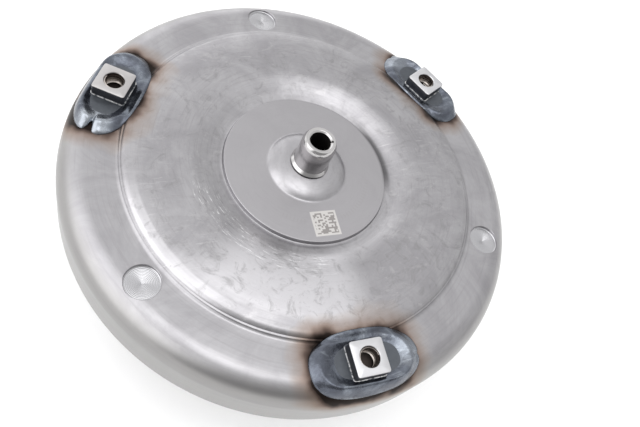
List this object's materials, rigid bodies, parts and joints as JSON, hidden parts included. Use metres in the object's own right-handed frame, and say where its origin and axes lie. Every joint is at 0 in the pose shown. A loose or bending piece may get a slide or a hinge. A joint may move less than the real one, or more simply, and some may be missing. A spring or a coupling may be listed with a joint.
{
  "type": "torque converter",
  "caption": "Lock-up torque converter: drawn steel cover with drive lugs and crankshaft pilot, impeller shell with pump-drive neck, turbine, stator and damper inside.",
  "frame": {"origin": "on the rotation axis at the end face of the pump-drive neck, the lowest point of the part", "axes": "+Z along the rotation axis from the neck (transmission side) to the pilot (engine side); +X passes midway between drive lug 1 at 30 degrees and the spot face at 330 degrees"},
  "size_m": [0.2502, 0.2502, 0.1378],
  "materials": {
    "drawn_steel": "bare satin drawn sheet steel",
    "turned_steel": "turned and ground",
    "lug_steel": "blued forging with milled face",
    "weld_metal": "blue-grey weld bead",
    "shell_steel": "bare drawn sheet steel",
    "blade_steel": "pressed strip",
    "bearing_steel": "ground hardened steel",
    "cage_brass": "pressed",
    "spring_steel": "oil-tempered wire",
    "seal_plastic": "moulded",
    "friction_paper": "bonded paper lining",
    "cast_aluminium": "die cast"
  },
  "bodies": {
    "housing": {"front_cover": "drawn_steel", "crank_pilot": "turned_steel", "drive_lug_1": "lug_steel", "drive_lug_2": "lug_steel", "drive_lug_3": "lug_steel", "lug_weld_1": "weld_metal", "lug_weld_2": "weld_metal", "lug_weld_3": "weld_metal", "seam_weld": "weld_metal", "impeller_shell": "shell_steel", "impeller_blades": "blade_steel", "impeller_core_ring": "blade_steel", "impeller_hub": "turned_steel", "hub_weld": "weld_metal", "balance_weight": "shell_steel", "front_bearing_race_cover": "bearing_steel", "rear_bearing_race_hub": "bearing_steel"},
    "turbine": {"turbine_shell": "shell_steel", "turbine_blades": "blade_steel", "turbine_core_ring": "blade_steel", "turbine_hub": "turned_steel", "turbine_rivets": "turned_steel", "piston_seal_ring": "seal_plastic", "damper_driven_plate": "turned_steel", "front_bearing_race_hub": "bearing_steel", "middle_bearing_race_hub": "bearing_steel"},
    "damper_cage": {"damper_front_plate": "blade_steel", "damper_rear_plate": "blade_steel", "damper_rivets": "turned_steel", "damper_springs": "spring_steel"},
    "piston": {"lockup_piston": "shell_steel", "friction_lining": "friction_paper"},
    "stator_inner_race": {"overrun_inner_race": "bearing_steel"},
    "stator": {"stator_wheel": "cast_aluminium", "stator_front_plate": "turned_steel", "stator_rear_plate": "turned_steel", "overrun_outer_race": "bearing_steel", "overrun_rollers": "bearing_steel", "overrun_springs": "spring_steel", "middle_bearing_race_stator": "bearing_steel", "rear_bearing_race_stator": "bearing_steel"},
    "front_bearing": {"front_bearing_cage": "cage_brass", "front_bearing_needles": "bearing_steel"},
    "middle_bearing": {"middle_bearing_cage": "cage_brass", "middle_bearing_needles": "bearing_steel"},
    "rear_bearing": {"rear_bearing_cage": "cage_brass", "rear_bearing_needles": "bearing_steel"}
  },
  "joints": [
    {"name": "turbine_spin", "type": "hinge", "parent": "housing", "child": "turbine", "pos_m": [0, 0, 0.092], "axis": [0, 0, 1], "continuous": true},
    {"name": "damper_twist", "type": "hinge", "parent": "turbine", "child": "damper_cage", "pos_m": [0, 0, 0.09325], "axis": [0, 0, 1], "range_deg": [-5, 5], "stiffness_Nm_per_rad": 900, "deforming": ["damper_springs"]},
    {"name": "lockup_slide", "type": "slide", "parent": "damper_cage", "child": "piston", "axis": [0, 0, 1], "range_m": [0, 0.0012]},
    {"name": "stator_race_spin", "type": "hinge", "parent": "housing", "child": "stator_inner_race", "pos_m": [0, 0, 0.07], "axis": [0, 0, 1], "continuous": true},
    {"name": "stator_overrun", "type": "hinge", "parent": "stator_inner_race", "child": "stator", "pos_m": [0, 0, 0.07], "axis": [0, 0, 1], "continuous": true},
    {"name": "front_bearing_spin", "type": "hinge", "parent": "housing", "child": "front_bearing", "pos_m": [0, 0, 0.1067], "axis": [0, 0, 1], "continuous": true},
    {"name": "middle_bearing_spin", "type": "hinge", "parent": "housing", "child": "middle_bearing", "pos_m": [0, 0, 0.084], "axis": [0, 0, 1], "continuous": true},
    {"name": "rear_bearing_spin", "type": "hinge", "parent": "housing", "child": "rear_bearing", "pos_m": [0, 0, 0.056], "axis": [0, 0, 1], "continuous": true}
  ],
  "couplings": [
    {"joint": "front_bearing_spin", "follows": "turbine_spin", "ratio": 0.5},
    {"joint": "rear_bearing_spin", "follows": "stator_race_spin", "ratio": 0.5}
  ]
}
